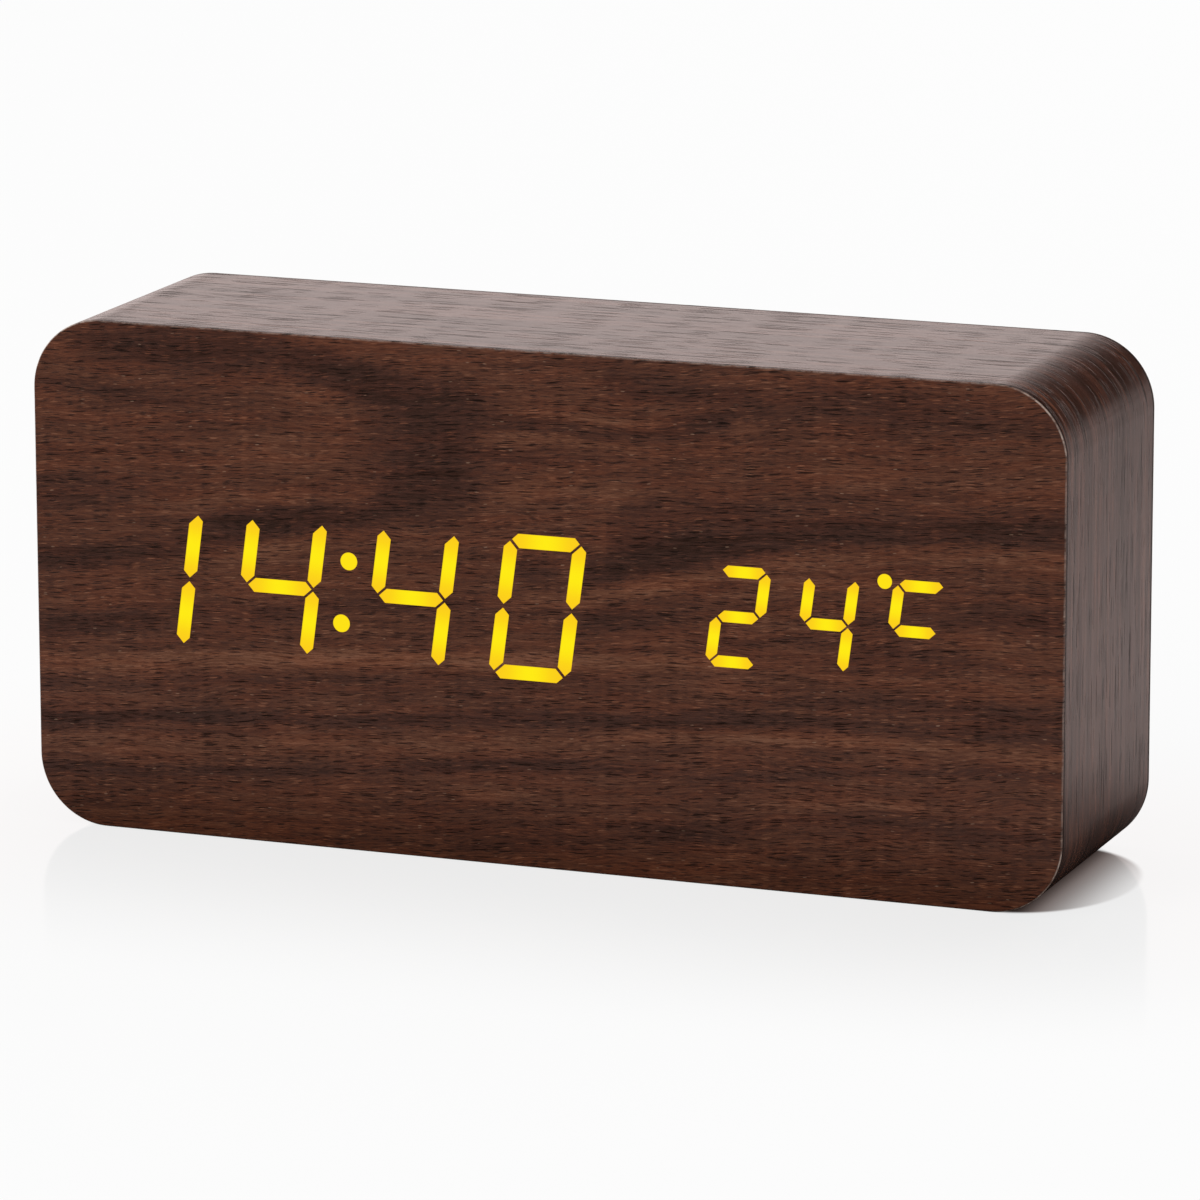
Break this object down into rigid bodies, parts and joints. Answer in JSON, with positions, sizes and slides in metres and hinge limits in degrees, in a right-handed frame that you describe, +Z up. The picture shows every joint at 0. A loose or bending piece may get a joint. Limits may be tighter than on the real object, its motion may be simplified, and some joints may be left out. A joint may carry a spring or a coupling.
{
  "type": "digital led desk clock",
  "caption": "Free-standing wood-block desk clock: rounded walnut-veneered block, lit seven-segment time and temperature shining through the front, recessed rear cover, keys and battery door.",
  "frame": {"origin": "middle of the underside, on the surface the clock stands on", "axes": "+X to the right as seen from the front, +Y from the front towards the back, +Z up"},
  "size_m": [0.15, 0.04, 0.072],
  "materials": {
    "walnut_front": "satin dark walnut, fine level grain",
    "walnut_band": "satin dark walnut, grain running round the sides",
    "walnut_rear": "satin dark walnut",
    "fibre_board": "raw routed wood-fibre board",
    "lit_yellow": "yellow light shining through the veneer",
    "milky_film": "milky film, printed dark outside the bars",
    "white_moulding": "white moulded plastic",
    "circuit_board": "green solder mask",
    "led_package": "clear lens on a pale base",
    "zinc_screw": "zinc-plated steel",
    "chip_black": "moulded chip package",
    "socket_cream": "moulded nylon",
    "ribbon_grey": "grey ribbon insulation",
    "can_metal": "pressed bright metal",
    "capacitor_sleeve": "shrunk sleeve on an aluminium can",
    "switch_black": "moulded nylon",
    "inlet_metal": "stamped nickel-plated steel",
    "inlet_insert": "moulded insert",
    "buzzer_black": "moulded plastic can",
    "bead_resin": "dipped resin",
    "cover_black": "fine spark-textured moulding",
    "black_screw": "black-oxide steel",
    "door_black": "fine spark-textured moulding",
    "cell_jacket": "plain printed jacket with bare metal ends",
    "nickel_plate": "nickel-plated spring steel",
    "lead_red": "wire insulation",
    "lead_black": "wire insulation",
    "button_black": "satin moulding",
    "plunger_black": "moulded nylon"
  },
  "bodies": {
    "clock_body": {"front_veneer": "walnut_front", "side_veneer_band": "walnut_band", "rear_veneer": "walnut_rear", "mdf_case": "fibre_board", "lit_time_segments": "lit_yellow", "lit_colon_dots": "lit_yellow", "lit_temperature_segments": "lit_yellow", "lit_unit_sign": "lit_yellow", "diffuser_sheet": "milky_film", "reflector_block": "white_moulding", "display_board": "circuit_board", "segment_leds": "led_package", "display_screws": "zinc_screw", "driver_chip": "chip_black", "segment_resistors": "chip_black", "ribbon_sockets": "socket_cream", "ribbon_cable": "ribbon_grey", "control_board": "circuit_board", "board_screws": "zinc_screw", "clock_chip": "chip_black", "clock_crystal": "can_metal", "supply_capacitor": "capacitor_sleeve", "switch_housings": "switch_black", "switch_frames": "can_metal", "usb_shell": "inlet_metal", "usb_tongue": "inlet_insert", "buzzer": "buzzer_black", "microphone": "can_metal", "thermistor": "bead_resin", "rear_cover": "cover_black", "cover_screws": "black_screw", "battery_cells": "cell_jacket", "contact_plates": "nickel_plate", "contact_springs": "nickel_plate", "battery_lead_red": "lead_red", "battery_lead_black": "lead_black"},
    "door": {"battery_door": "door_black"},
    "set_key": {"set_button": "button_black", "set_plunger": "plunger_black"},
    "up_key": {"up_button": "button_black", "up_plunger": "plunger_black"},
    "down_key": {"down_button": "button_black", "down_plunger": "plunger_black"}
  },
  "joints": [
    {"name": "battery_door_hinge", "type": "hinge", "parent": "clock_body", "child": "door", "pos_m": [0, 0.01752, 0.01098], "axis": [-1, 0, 0], "range_deg": [0, 80]},
    {"name": "set_key_press", "type": "slide", "parent": "clock_body", "child": "set_key", "axis": [0, -1, 0], "range_m": [0, 0.0004], "stiffness_N_per_m": 1500},
    {"name": "up_key_press", "type": "slide", "parent": "clock_body", "child": "up_key", "axis": [0, -1, 0], "range_m": [0, 0.0004], "stiffness_N_per_m": 1500},
    {"name": "down_key_press", "type": "slide", "parent": "clock_body", "child": "down_key", "axis": [0, -1, 0], "range_m": [0, 0.0004], "stiffness_N_per_m": 1500}
  ]
}
